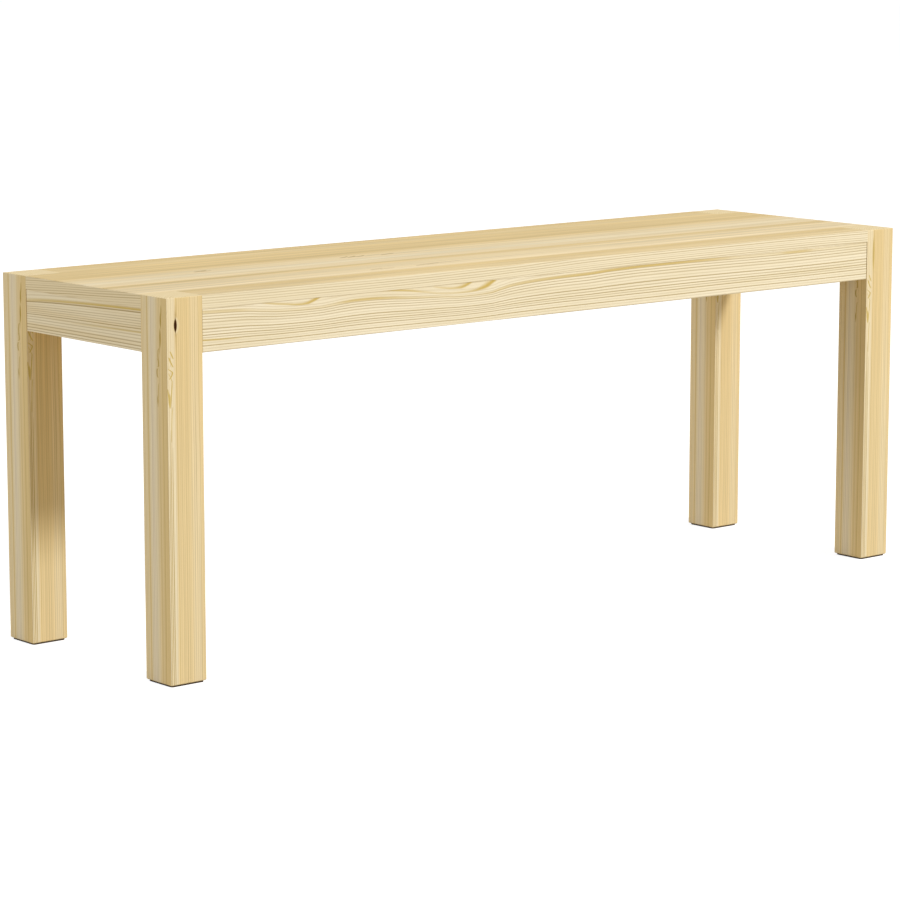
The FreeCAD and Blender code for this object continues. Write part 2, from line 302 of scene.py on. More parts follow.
class Wood(Surface):
    """A wooden surface, with the features of pine."""

    def rings(self, reach, pitch, seed):
        """How much late wood shows, from 0 to 1, where growth rings of this pitch meet the surface."""
        count = reach / pitch + self.noise(reach / (5.0 * pitch), seed, 0.0) * RING_UNEVENNESS
        ring = count.floor()
        part = count - ring
        line = self.step(part, LATE_START, LATE_PEAK) - self.step(part, LATE_PEAK, 1.0)
        return line * (self.dice(ring + seed) * (1.0 - FAINTEST_RING) + FAINTEST_RING)

    def arcs(self, across, deep, pith, pitch, seed):
        """Growth rings on end grain, round a pith outside the piece."""
        off_across = across - pith[0]
        off_deep = deep - pith[1]
        return self.rings((off_across * off_across + off_deep * off_deep).root(), pitch, seed)

    def fibres(self, along, across, deep):
        """Fine streaks along the grain, about zero."""
        return self.noise(along / FIBRE_LENGTH, across / FIBRE_WIDTH, deep / FIBRE_WIDTH, 3.0)

    def streak(self, along, level, line, strength, width):
        """A dark line with a soft upper and a sharper lower side. Its level and strength follow paths."""
        off = (level - self.path(along, line)) / width
        upper = self.step(off, -1.0, 0.1)
        lower = 1.0 - self.step(off, 0.1, 0.65)
        return upper * lower * self.path(along, strength)

    def strokes(self, across, along, marks):
        """The strongest of several thin strokes of (points along the grain, width, strength)."""
        total = None
        for points, width, strength in marks:
            first, last = points[0][0], points[-1][0]
            fade = STROKE_FADE * (last - first)
            fades = [(first, 0.0), (first + fade, strength), (last - fade, strength), (last, 0.0)]
            stroke = self.streak(along, across, points, fades, width)
            total = stroke if total is None else total.larger(stroke)
        return total

    def spot(self, across, along, centre, half_width, half_length):
        """A pointed spot along the grain, 1 inside and 0 outside."""
        end = (along - centre[1]) / half_length
        edge = abs(across - centre[0]) / half_width + end * end
        return 1.0 - self.step(edge, 0.5, 1.1)

    def spots(self, across, along, marks):
        """The strongest of several spots of (across, along, half width, half length, strength)."""
        total = None
        for at_across, at_along, half_width, half_length, strength in marks:
            spot = self.spot(across, along, (at_across, at_along), half_width, half_length) * strength
            total = spot if total is None else total.larger(spot)
        return total

    def curl(self, across, along, centre, reach, seed):
        """How far resin pockets push the grain aside, within their reach across and along it."""
        share = self.hump(across, centre[0], reach[0]) * self.hump(along, centre[1], reach[1])
        return self.noise(across / CURL_WIDTH, along / CURL_LENGTH, seed) * share * CURL_PUSH

    def marks(self, across, along, spots, strokes):
        """The strongest of several spots and strokes."""
        return self.spots(across, along, spots).larger(self.strokes(across, along, strokes))

    def planed(self, colour, fibres, relief):
        """Ends the material as planed wood, with relief in millimetres besides that of the fibres."""
        roughness = fibres * FIBRE_ROUGHNESS + WOOD_ROUGHNESS
        return self.finish(colour, roughness, relief + fibres * FIBRE_RELIEF, WOOD_GLOSS)


def coat(node, material):
    """Gives a piece of the frame its material."""
    slots = frame["nodes"][node].data.materials
    slots.clear()
    slots.append(material)


# Aprons: rift-sawn pine whose rings follow one golden ring that swings near the top edge

APRON_PITCH = 3.5
RING_LEAN = 0.3
WAVE_LENGTH = 170.0
WAVE_HEIGHT = 1.6
GOLDEN_DEPTH = 18.0
GOLDEN_WIDTH = 3.4
JOINT_AND_SHADE_WIDTH = 1.6

# The depths over which the rings cease to follow the golden one, and over which they reach full strength
SWING_FADE = (22.0, 64.0)
FULL_RINGS = (14.5, 18.5)


def apron_wood(name, view, tones, golden, shine, hooks, dark_joints_and_shade, seed):
    """Rings that follow the golden one, whose depth and strength change along the apron.

    view gives the distances along the apron, below the seat top and inwards. tones are two of early wood
    and one of late wood, hooks are short golden arcs, and dark_joints_and_shade says how dark each end is:
    a dark joint that is partly painted shade of the gap beside the leg.
    """
    wood = Wood(name)
    along, depth, inward = view(wood)
    swing = wood.path(along, golden) - GOLDEN_DEPTH
    level = depth + inward * RING_LEAN
    wave = wood.noise(along / WAVE_LENGTH, depth / 30.0, seed, 1.0) * WAVE_HEIGHT
    reach = level - swing * (1.0 - wood.step(depth, *SWING_FADE) * 0.9) + wave
    calm = wood.step(depth - swing, *FULL_RINGS) * 0.65 + 0.35
    rings = wood.rings(reach, APRON_PITCH, seed) * calm
    fibres = wood.fibres(along, depth, inward)
    drift = wood.step(wood.noise(along / 240.0, depth / 11.0, seed + 4.0), -0.12, 0.25)
    colour = wood.tint(tones[0], tones[1], drift * 0.8)
    colour = wood.tint(colour, tones[2], rings)
    gold = wood.streak(along, level, golden, shine, GOLDEN_WIDTH)
    for line, strength, width in hooks:
        gold = gold.larger(wood.streak(along, level, line, strength, wood.path(along, width)))
    colour = wood.tint(colour, GOLD, gold)
    # Dark lines at the ends: partly a dark joint, partly painted shade of the gap beside the leg
    first_joint_and_shade = wood.hump(along, golden[0][0], JOINT_AND_SHADE_WIDTH) * dark_joints_and_shade[0]
    last_joint_and_shade = wood.hump(along, golden[-1][0], JOINT_AND_SHADE_WIDTH) * dark_joints_and_shade[1]
    colour = wood.brighten(colour, fibres * 0.16 - (first_joint_and_shade + last_joint_and_shade))
    return wood.planed(colour, fibres, rings * 0.03 + gold * 0.03)


FRONT_GOLDEN = [
    (50, 20), (103, 21.8), (138, 24.8), (172, 27.3), (209, 28), (234, 26.8), (258, 24.8), (283, 24),
    (318, 25), (357, 27.7), (414, 30.8), (444, 32.7), (475, 32), (498, 28.5), (530, 24), (567, 22),
    (604, 21), (641, 20.6), (677, 19.2), (707, 18.4), (740, 17.9), (850, 18.2), (1000, 19.5), (1150, 18.5),
]
FRONT_SHINE = [
    (50, 0.45), (90, 0.5), (130, 0.2), (200, 0.2), (250, 0.45), (285, 0.8), (320, 0.65), (380, 0.35),
    (450, 0.25), (490, 0.45), (560, 0.7), (640, 0.85), (740, 0.95), (830, 0.8), (885, 0.4),
    (930, 0.12), (985, 0.3), (1015, 0.7), (1040, 0.5), (1075, 0.15), (1150, 0.2),
]
# Each hook has its depth, its strength and its width along the apron
FRONT_HOOKS = [
    ([(136, 16), (153, 18.5), (172, 20.4), (190, 22), (200, 21.6), (208, 19.6), (214, 17.4), (222, 14)],
     [(134, 0), (146, 0.6), (175, 0.75), (194, 0.85), (208, 1), (219, 1), (222, 0)],
     [(134, 2.4), (180, 2.6), (198, 3.2), (208, 4.6), (222, 5.4)]),
    ([(317, 15.6), (350, 18.5), (380, 22.7), (414, 27), (440, 27.6), (456, 26.8), (468, 24.8), (478, 21.8),
      (486, 17.8), (493, 14)],
     [(312, 0), (322, 0.8), (350, 0.8), (390, 0.4), (440, 0.5), (458, 0.75), (472, 1), (490, 1), (494, 0)],
     [(312, 2.8), (430, 2.8), (456, 3.4), (470, 5.4), (484, 7.6), (495, 7.6)]),
    ([(391, 17), (411, 20.3), (424, 21.4), (434, 21.2), (440, 20.2), (447, 17.8), (454, 14.6)],
     [(391, 0), (406, 0.55), (430, 0.75), (441, 0.95), (452, 0.95), (455, 0)],
     [(391, 2.2), (424, 2.6), (436, 4.2), (448, 5.2), (455, 5.2)]),
    ([(50, 52), (75, 53), (105, 54)], [(50, 0.75), (80, 0.6), (108, 0)], [(50, 2.4), (108, 2.0)]),
]

SIDE_GOLDEN = [(50, 29), (95, 25.5), (153, 22.5), (215, 20), (287, 18)]
SIDE_SHINE = [(50, 0.5), (110, 0.8), (180, 0.9), (230, 1), (287, 0.95)]
SIDE_HOOKS = [
    ([(150, 47), (220, 45.5), (290, 44)],
     [(140, 0), (190, 0.4), (280, 0.6), (290, 0.6)],
     [(140, 2.0), (290, 2.4)]),
]

# A figure is its tones, golden ring, shine and hooks, and how dark the joint and painted shade at each end
# are
LONG_FIGURE = ((CREAM, PALE, DARK_WOOD), FRONT_GOLDEN, FRONT_SHINE, FRONT_HOOKS, (0.4, 0.4))
SIDE_FIGURE = ((PARCHMENT, BEIGE, UMBER), SIDE_GOLDEN, SIDE_SHINE, SIDE_HOOKS, (0.0, 0.4))
# Each apron has its view, its figure and its seed
APRONS = {
    "front": (lambda wood: (wood.x - LEFT, SEAT_TOP - wood.z, wood.y - FRONT), LONG_FIGURE, 3.0),
    "rear": (lambda wood: (RIGHT - wood.x, SEAT_TOP - wood.z, REAR - wood.y), LONG_FIGURE, 9.0),
    "left": (lambda wood: (REAR - wood.y, SEAT_TOP - wood.z, wood.x - LEFT), SIDE_FIGURE, 14.0),
    "right": (lambda wood: (wood.y - FRONT, SEAT_TOP - wood.z, RIGHT - wood.x), SIDE_FIGURE, 21.0),
}
for side, (view, figure, seed) in APRONS.items():
    coat("apron_" + side, apron_wood("pine_apron_" + side, view, *figure, seed))


# Seat staves: flat-sawn, so the rings show as broad bands on top and as fine lines on the edges

STAVE_EDGE_PITCH = 2.8
STAVE_EDGE_SEED = 30.0
STAVE_TOP_PITCH = 6.5
FIRST_STAVE_SEED = 30.0
STAVE_SEED_STEP = 7.0
STROKE_DEPTH = (3.0, 4.0)
STAVE_BOW = [(0, -1.5), (330, 3.2), (440, 2.5), (750, -4.0), (950, -4.6), (1200, -2.5)]
# Painted shade along a stave's top, as points of (along, change of brightness): darker towards the ends,
# most at the left end
PAINTED_STAVE_SHADE = [
    (0, -0.09), (110, -0.085), (260, -0.03), (420, 0.012), (700, 0.015), (900, -0.01), (1200, -0.03),
]


def stave_wood(name, node, bands, strokes, painted_shade, seed):
    """Bands across the top and fine lines on the edges, which run on from one stave to the next.

    bands are (distance from the stave's rear edge, colour), strokes are dark marks on the top, and
    painted_shade says how much painted shade the stave's top gets, darker towards its ends and most at the
    left end.
    """
    wood = Wood(name)
    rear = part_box(node)[1].y * MILLIMETRES
    along = wood.x - LEFT
    across = rear - wood.y
    from_rear = REAR - wood.y
    depth = SEAT_TOP - wood.z
    drift = wood.noise(along / 420.0, across / 60.0, seed, 1.0) * 7.0
    bow = wood.path(along, STAVE_BOW)
    on_top = wood.step(wood.facing[2], 0.5, 0.8)
    on_end = wood.step(wood.facing[0], 0.5, 0.8)
    waver = wood.noise(along / 130.0, from_rear / 90.0, depth / 14.0, 1.0) * 1.5
    edge_reach = depth + waver + wood.between(on_end, from_rear * 0.06, bow * -1.0)
    fine = wood.rings(edge_reach, STAVE_EDGE_PITCH, STAVE_EDGE_SEED)
    broad = wood.rings(across + drift, STAVE_TOP_PITCH, seed + 2.0)
    fibres = wood.fibres(along, across, depth)
    streaks = wood.noise(along / 260.0, across / 3.0, seed, 2.0)
    clouds = wood.noise(along / 300.0 + across / 60.0, across / 10.0, seed + 3.0, 3.0)
    edge = wood.tint(wood.tint(CREAM, PALE, along * -0.0006 + 0.85), BEIGE, on_end * 0.45)
    colour = wood.tint(edge, wood.ramp(across + drift * 0.5, bands), on_top)
    colour = wood.tint(colour, APRICOT, on_top * 0.07)
    edge_lines = fine * wood.between(on_end, 1.0, along * 0.00044 + 0.66)
    colour = wood.tint(colour, LATE_WOOD, wood.between(on_top, broad * 0.45, edge_lines))
    # Random streaks and clouds of tone, with the painted shade along the top
    tone_and_painted_shade = streaks * 0.35 + clouds * 0.5 + wood.path(along, PAINTED_STAVE_SHADE) * painted_shade - 0.04
    colour = wood.brighten(colour, fibres * 0.18 + tone_and_painted_shade * on_top)
    if strokes:
        upper_side = on_top * (1.0 - wood.step(depth, *STROKE_DEPTH))
        colour = wood.tint(colour, RESIN, wood.strokes(across, along, strokes) * upper_side * 0.75)
    return wood.planed(colour, fibres, streaks * 0.03)


STAVE_BANDS = {
    "rear": [(0, TAN), (10, HONEY), (22, HONEY), (38, STRAW), (50, HONEY)],
    "inner_3": [
        (0, HONEY), (22, HONEY), (40, HONEY), (52, TAN), (60, TAN), (66, HONEY), (72, STRAW), (79, STRAW),
    ],
    "inner_2": [(0, STRAW), (10, BEIGE), (24, BEIGE), (44, PALE), (58, BEIGE), (70, BEIGE), (79, STRAW)],
    "inner_1": [
        (0, TAN), (5, HONEY), (14, STRAW), (28, BEIGE), (48, BEIGE), (58, BEIGE), (64, IVORY), (70, IVORY),
        (79, STRAW),
    ],
    "front": [(0, HONEY), (12, HONEY), (30, STRAW), (42, STRAW), (50, BEIGE)],
}
# The staves whose tops get the painted shade, and how much
STAVES_WITH_PAINTED_SHADE = {"inner_1": 0.8, "front": 1.0}
# Each stroke has its points of (along, from the stave's rear edge), its width and its strength
STAVE_STROKES = {
    "inner_2": [
        ([(176, 18.6), (186, 16.4), (198, 14.0)], 4.5, 0.95),
        ([(184, 21.0), (192, 20.0), (203, 17.6)], 3.0, 0.7),
        ([(404, 12.4), (412, 10.6), (421, 6.0)], 4.0, 1.0),
        ([(415, 13.6), (425, 11.4), (433, 6.4)], 4.5, 1.0),
        ([(427, 14.0), (437, 12.6), (446, 7.6)], 4.0, 0.95),
        ([(440, 15.4), (452, 13.4), (470, 11.0)], 3.0, 0.55),
        ([(464, 18.6), (474, 16.6), (490, 13.4)], 4.5, 0.9),
        ([(486, 19.0), (500, 17.0), (530, 15.6)], 2.6, 0.45),
    ],
    "inner_1": [
        ([(352, 58.4), (361, 56.4), (374, 54.4)], 3.6, 0.7),
        ([(366, 60.0), (376, 58.4), (392, 56.2)], 3.0, 0.6),
        ([(424, 58.0), (436, 55.4), (450, 53.6)], 3.6, 0.75),
        ([(442, 56.4), (454, 53.4), (466, 51.6)], 4.0, 0.75),
        ([(458, 55.0), (472, 52.6), (500, 51.4)], 2.8, 0.5),
    ],
}
for number, (place, bands) in enumerate(STAVE_BANDS.items()):
    node = "seat_stave_" + place
    strokes = STAVE_STROKES.get(place)
    painted_shade = STAVES_WITH_PAINTED_SHADE.get(place, 0.0)
    seed = FIRST_STAVE_SEED + STAVE_SEED_STEP * number
    coat(node, stave_wood("pine_" + node, node, bands, strokes, painted_shade, seed))


# Legs: straight-grained, pale on one side of a thin dark line and honey on the other, with resin marks

LEG_PITCH = 2.8
FACE_SEED, SIDE_SEED = 2.0, 5.0
END_PITCH = 3.2
END_SEED = 6.0
PITH = (70.0, 95.0)

# Places on a face or side, as (across, below the seat top): the curls, with reach and seed, and the knot
FACE_CURL = ((5.0, 80.0), (7.0, 26.0), 3.0)
SIDE_CURL = ((33.0, 80.0), (7.0, 28.0), 8.0)
PINCH_PLACE = (12.3, 31.0)
KNOT_PLACE = (12.2, 31.5)
RIM_PLACE = (12.3, 31.5)
TRACE_PLACE = (12.4, 32.0)

# The thin dark line that runs through the knot, as points of (below the seat top, value)
SEAM_LINE = [(4, 12.9), (31, 12.3), (66, 12.8)]
SEAM_STRENGTH = [(4, 0), (14, 0.3), (24, 0.8), (38, 0.8), (46, 0.35), (66, 0)]
SEAM_WIDTH = 1.6

# Tones across a face or side, and the resin marks on it
FACE_TONES = [
    (0, PALE), (7, PALE), (9, PALE), (11.4, BEIGE), (12.5, HONEY), (13.8, STRAW), (18, STRAW),
    (22, STRAW), (30, STRAW), (35, BEIGE), (42, BEIGE), (46, STRAW), (50, STRAW),
]
SIDE_TONES = [
    (0, STRAW), (5, BEIGE), (9, BEIGE), (11.2, STRAW), (12.2, HONEY), (13.4, BEIGE), (16, PALE), (19, ASH),
    (22, ASH), (26, PALE), (30, BEIGE), (33, STRAW), (36, STRAW), (40, HONEY), (44, HONEY), (50, HONEY),
]
FACE_SPOTS = [(3.0, 116, 2.3, 9, 0.75)]
FACE_STROKES = [
    ([(60.5, 4.6), (69.5, 8.8)], 1.7, 1.0),
    ([(67, 2.6), (73, 5.2), (79, 8.6)], 1.8, 1.0),
    ([(80, 1.2), (82.5, 4.6), (85, 7.4), (88, 6.6), (92.5, 2.8)], 1.8, 1.0),
    ([(85, 2.0), (90, 4.4), (96, 7.6)], 1.3, 0.7),
    ([(103, 0.6), (114, 2.0), (126, 3.8)], 1.5, 0.95),
    ([(94, 7.2), (108, 6.0), (126, 3.8)], 1.4, 0.85),
    ([(124, 7.4), (140, 5.8), (165, 5.2)], 1.1, 0.8),
    ([(190, 2.0), (320, 1.7), (520, 2.0)], 0.8, 0.8),
    ([(150, 4.4), (300, 3.9), (520, 4.2)], 0.9, 1.0),
    ([(170, 7.0), (280, 6.4), (520, 6.9)], 0.9, 0.9),
]
SIDE_SPOTS = [
    (39.5, 15, 1.1, 8, 0.7),
    (38.2, 26, 1.5, 11, 1.0),
    (37.2, 46, 1.6, 13, 1.0),
    (36.0, 58, 0.8, 9, 0.6),
    (31.4, 118, 1.3, 7, 0.85),
]
SIDE_STROKES = [
    ([(58, 34.8), (66, 32.6), (72, 34.0)], 1.8, 0.85),
    ([(70, 31.0), (76, 33.6), (80, 31.6)], 2.0, 0.95),
    ([(81, 33.4), (86, 30.4), (92, 32.6)], 2.2, 0.85),
    ([(98, 33.6), (108, 32.4), (126, 31.4)], 1.2, 0.8),
    ([(-60, 12.0), (220, 12.5), (520, 11.8)], 1.0, 0.35),
    ([(130, 33.0), (260, 34.2), (520, 33.4)], 1.0, 0.4),
    ([(60, 40.0), (260, 41.0), (520, 40.4)], 1.0, 0.35),
]


def leg_wood(corner, knotty):
    """The same marks on every leg, and a dead knot on one of them."""
    node = "leg_" + corner
    wood = Wood("pine_" + node)
    low, high = [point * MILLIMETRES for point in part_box(node)]
    below = SEAT_TOP - wood.z
    from_left = wood.x - low.x
    from_rear = high.y - wood.y
    on_side = wood.step(wood.facing[0] - wood.facing[1], -0.1, 0.1)
    on_end = wood.step(wood.facing[2], 0.6, 0.8)
    on_front = 1.0 - on_side
    on_face = on_front * (1.0 - wood.step(wood.y - low.y, 5.0, 6.0))

    # The grain wanders, curls round resin pockets and is drawn in at the knot
    wander = wood.noise(below / 130.0, from_left / 30.0, from_rear / 30.0, 1.0) * 2.0
    face = from_left + wander + wood.curl(from_left, below, *FACE_CURL)
    side = from_rear + wander + wood.curl(from_rear, below, *SIDE_CURL)
    if knotty:
        pinch = wood.hump(from_left, PINCH_PLACE[0], 9.0) * wood.hump(below, PINCH_PLACE[1], 22.0)
        face = face - (face - PINCH_PLACE[0]) * pinch * 0.5

    # Tones, rings and fine lines, with a painted highlight on the edges and painted shade and light on some
    # faces
    colour = wood.tint(wood.ramp(face, FACE_TONES), wood.ramp(side, SIDE_TONES), on_side)
    grain = wood.between(on_side, side, face)
    rings = wood.rings(grain, LEG_PITCH, wood.between(on_side, SIDE_SEED, FACE_SEED)) * 0.52
    lines = wood.noise(grain / 1.3, below / 280.0, on_side * 7.0, 3.0)
    fibres = wood.fibres(below, from_left, from_rear)
    colour = wood.tint(colour, LATE_WOOD, rings)
    # Painted highlight along the left edge of the front and back faces
    painted_edge_highlight = wood.hump(from_left, 0.0, 9.0) * on_front * 0.06
    contrast = wood.hump(below, 220.0, 210.0) * on_front * 0.2 + 0.46
    colour = wood.brighten(colour, lines * contrast + fibres * 0.12 + painted_edge_highlight + 0.02)
    # Warmer towards the top of the front and back faces: partly the wood's tone, partly painted warm shade
    # under the seat
    colour = wood.tint(colour, OCHRE, on_front * (1.0 - wood.step(below, 0.0, 320.0)) * 0.14)
    # Painted shade: under the seat, the upper part of the rear left leg's inner face is warmer and darker,
    # with stronger fine lines
    if corner == "rear_left":
        painted_warm_shade = on_face * (1.0 - wood.step(below, 250.0, 370.0))
        colour = wood.brighten(wood.tint(colour, OCHRE, painted_warm_shade * 0.34), painted_warm_shade * (lines * 0.5 - 0.025))
    # Painted light: the rear right leg is made lighter, a little on its front and back faces and more on
    # its sides from 120 to 240 mm below the seat top downwards
    if corner == "rear_right":
        colour = wood.brighten(colour, wood.between(on_side, wood.step(below, 120.0, 240.0) * 0.05, 0.03))

    # Resin marks, and the knot or what shows of it on the other legs
    face_marks = wood.marks(from_left, below, FACE_SPOTS, FACE_STROKES)
    side_marks = wood.marks(from_rear, below, SIDE_SPOTS, SIDE_STROKES)
    marks = wood.between(on_side, side_marks, face_marks) * (1.0 - on_end)
    deep = on_side.larger(wood.step(below, 140.0, 170.0))
    colour = wood.tint(colour, wood.tint(AMBER, RESIN, deep * 0.5), marks)
    hollow = marks * 0.05
    seam = wood.streak(below, from_left, SEAM_LINE, SEAM_STRENGTH, SEAM_WIDTH)
    if knotty:
        rim = wood.spot(from_left, below, RIM_PLACE, 6.0, 12.0)
        bark = wood.spot(from_left, below, KNOT_PLACE, 2.7, 10.0)
        hole = wood.spot(from_left, below, KNOT_PLACE, 2.3, 9.0) * on_face
        colour = wood.tint(colour, BEIGE, rim * on_face)
        colour = wood.tint(colour, RESIN, seam.larger(bark) * on_face)
        colour = wood.tint(colour, KNOT, hole)
        hollow = hollow + hole * 0.4
    else:
        trace = wood.spot(from_left, below, TRACE_PLACE, 2.4, 26.0)
        colour = wood.tint(colour, AMBER, trace * on_face * 0.6)
        colour = wood.tint(colour, RESIN, seam * on_face * 0.5)

    # End grain
    end_rings = wood.arcs(from_left, from_rear, PITH, END_PITCH, END_SEED)
    end_colour = wood.tint(wood.tint(BEIGE, STRAW, 0.4), TAN, end_rings)
    colour = wood.tint(colour, end_colour, on_end)
    return wood.planed(colour, fibres, lines * 0.03 - hollow)


for corner in ("front_left", "front_right", "rear_left", "rear_right"):
    coat("leg_" + corner, leg_wood(corner, corner == "front_left"))


# Sawn pine of the hidden rails and corner blocks, zinc plated steel and felt

BLOCK_PITCH = 4.2
BLOCK_SEED = 41.0
BLOCK_ROUGHNESS = 0.68
SPANGLE_SIZE = 1.5
FUZZ_SIZE = 0.4


def block_wood():
    """Pine that lies level, with its rings lying nearly level too."""
    wood = Wood("pine_blocks")
    reach = wood.z + wood.x * 0.02 + wood.y * 0.05
    rings = wood.rings(reach, BLOCK_PITCH, BLOCK_SEED)
    fibres = wood.fibres(wood.x + wood.y, wood.z, wood.x - wood.y)
    colour = wood.tint(STRAW, LATE_WOOD, rings)
    colour = wood.brighten(colour, fibres * 0.2)
    return wood.finish(colour, fibres * 0.2 + BLOCK_ROUGHNESS, fibres * 0.06, WOOD_GLOSS)


def zinc():
    """Bright steel with faint spangles."""
    steel = Surface("zinc_steel")
    spangle = steel.noise(steel.x / SPANGLE_SIZE, steel.y / SPANGLE_SIZE, steel.z / SPANGLE_SIZE, 3.0)
    colour = steel.tint(BRIGHT_ZINC, DULL_ZINC, steel.step(spangle, -0.2, 0.3))
    steel.shader.inputs["Metallic"].default_value = 1.0
    return steel.finish(colour, spangle * 0.2 + 0.32, spangle * 0.01, 0.5)


def felt():
    """Brown and fuzzy."""
    cloth = Surface("felt")
    fuzz = cloth.noise(cloth.x / FUZZ_SIZE, cloth.y / FUZZ_SIZE, cloth.z / FUZZ_SIZE, 4.0)
    colour = cloth.tint(PALE_FELT, DARK_FELT, cloth.step(fuzz, -0.2, 0.2))
    return cloth.finish(colour, fuzz * 0.1 + 0.92, fuzz * 0.3, 0.1)


plain_materials = {"block_pine": block_wood(), "zinc_steel": zinc(), "felt": felt()}
for part in frame["record"]["subparts"]:
    if part["material_slot"] in plain_materials:
        coat(part["node"], plain_materials[part["material_slot"]])


# Fasteners: turned and threaded meshes in the places of the frame's plain ones

ROUND_SIDES = 48
SMALL_SIDES = 24
SHARP_ANGLE = math.radians(35.0)
BOLT_RADIUS = 4.0
BOLT_CHAMFER = 1.0
BOLT_SHANK = 3.95
THREAD_PITCH = 1.25
THREAD_DEPTH = 0.65
THREAD_LENGTH = 15.0
THREAD_END = 0.5
ROWS_PER_PITCH = 6
NUT_FLAT = 6.5
NUT_CROWN = 0.95 * NUT_FLAT
NUT_CHAMFER = math.radians(30.0)
NUT_BORE = 4.05
NUT_MOUTH = 4.65
NUT_MOUTH_DEPTH = 0.7
WASHER_BORE = 4.5
WASHER_RADIUS = 12.0
HEAD_RADIUS = 4.0
HEAD_HEIGHT = 2.6
SHANK_RADIUS = 2.0
SCREW_POINT = 0.1
SCREW_TIP = 5.0

# The cross recess at its floor and at its mouth: reach of an arm, half its width and depth
RECESS_FLOOR = (0.9, 0.3, 1.7)
RECESS_MOUTH = (2.1, 0.6, 0.0)

# Outlines of (radius, distance from the outer end)
PAN_HEAD = [
    (2.7, 0.0), (3.4, 0.25), (3.8, 0.75), (HEAD_RADIUS, 1.4),
    (HEAD_RADIUS, HEAD_HEIGHT - 0.15), (HEAD_RADIUS - 0.15, HEAD_HEIGHT),
]
WASHER_FACE = [
    (WASHER_BORE, 0.2), (WASHER_BORE + 0.2, 0.0), (WASHER_RADIUS - 0.35, 0.0), (WASHER_RADIUS, 0.35),
]


def upwards(low, high):
    """The way of the seat screws, whatever their place."""
    return Vector((0.0, 0.0, 1.0))


def to_the_corner(low, high):
    """Level, along the diagonal of the corner that the fastener is in."""
    middle = (low + high) / 2.0
    return Vector((math.copysign(1.0, middle.x), math.copysign(1.0, middle.y), 0.0)).normalized()


def to_the_apron(low, high):
    """Level and square to the apron that the screw goes into."""
    middle = (low + high) / 2.0
    size = high - low
    if size.x > size.y:
        return Vector((math.copysign(1.0, middle.x), 0.0, 0.0))
    return Vector((0.0, math.copysign(1.0, middle.y), 0.0))


def islands(node):
    """The points of each separate solid of a node."""
    mesh = bmesh.new()
    mesh.from_mesh(frame["nodes"][node].data)
    bmesh.ops.remove_doubles(mesh, verts=mesh.verts, dist=1e-6)
    seen = set()
    groups = []
    for start in mesh.verts:
        if start in seen:
            continue
        seen.add(start)
        group = [start]
        for vertex in group:
            for edge in vertex.link_edges:
                other = edge.other_vert(vertex)
                if other not in seen:
                    seen.add(other)
                    group.append(other)
        groups.append([vertex.co.copy() for vertex in group])
    mesh.free()
    return groups


def places(node, way):
    """For each fastener of a node, the middle of its outer end, the way it is driven and its length."""
    found = []
    for points in islands(node):
        low = Vector([min(point[axis] for point in points) for axis in range(3)])
        high = Vector([max(point[axis] for point in points) for axis in range(3)])
        middle = (low + high) / 2.0
        direction = way(low, high)
        reach = [point.dot(direction) for point in points]
        head = middle + direction * (min(reach) - middle.dot(direction))
        found.append((head, direction, (max(reach) - min(reach)) * MILLIMETRES))
    return found


def skin(mesh, place, rings, closed):
    """Faces over rings of points, one ring after the other. A closed skin ends at its first ring."""
    head, direction, _ = place
    turn = direction.to_track_quat("Z", "X").to_matrix()
    rows = [[mesh.verts.new(head + turn @ Vector(point) / MILLIMETRES) for point in ring] for ring in rings]
    pairs = list(zip(rows, rows[1:]))
    if closed:
        pairs.append((rows[-1], rows[0]))
    else:
        mesh.faces.new(rows[0])
        mesh.faces.new(rows[-1])
    for low, high in pairs:
        for index in range(len(low)):
            mesh.faces.new((low[index - 1], low[index], high[index], high[index - 1]))


def ring_of(radius, height, sides=ROUND_SIDES, start=0):
    """A level circle of points."""
    angles = [2.0 * math.pi * (side + start) / sides for side in range(sides)]
    return [(radius * math.cos(angle), radius * math.sin(angle), height) for angle in angles]


def cross_of(arm, half, height):
    """The outline of a cross, in step with a circle of as many points that starts one back."""
    middle = (arm + half) / 2.0
    quarter = [(arm, -half), (arm, 0.0), (arm, half), (middle, half), (half, half), (half, middle)]
    points = []
    for turn in range(4):
        points.extend((x, y, height) for x, y in quarter)
        quarter = [(-y, x) for x, y in quarter]
    return points


def add_screw(mesh, place):
    """A pan-head screw with a cross recess."""
    length = place[2]
    shank = [(SHANK_RADIUS, HEAD_HEIGHT), (SHANK_RADIUS, length - SCREW_TIP), (SCREW_POINT, length)]
    rings = [cross_of(*RECESS_FLOOR), cross_of(*RECESS_MOUTH)]
    rings.extend(ring_of(radius, height, SMALL_SIDES, -1) for radius, height in PAN_HEAD + shank)
    skin(mesh, place, rings, False)


def add_bolt(mesh, place):
    """A stud whose outer end has a machine thread and a chamfer."""
    length = place[2]
    rows = int(THREAD_LENGTH / THREAD_PITCH * ROWS_PER_PITCH)
    rings = []
    for row in range(rows + 1):
        height = THREAD_LENGTH * row / rows
        ring = []
        for side in range(SMALL_SIDES):
            angle = 2.0 * math.pi * side / SMALL_SIDES
            turn = (height / THREAD_PITCH + side / SMALL_SIDES) % 1.0
            radius = BOLT_RADIUS - THREAD_DEPTH * abs(2.0 * turn - 1.0)
            radius = min(radius, BOLT_RADIUS - BOLT_CHAMFER + height)
            ring.append((radius * math.cos(angle), radius * math.sin(angle), height))
        rings.append(ring)
    rings.append(ring_of(BOLT_SHANK, THREAD_LENGTH + THREAD_END, SMALL_SIDES))
    rings.append(ring_of(BOLT_SHANK, length, SMALL_SIDES))
    skin(mesh, place, rings, False)


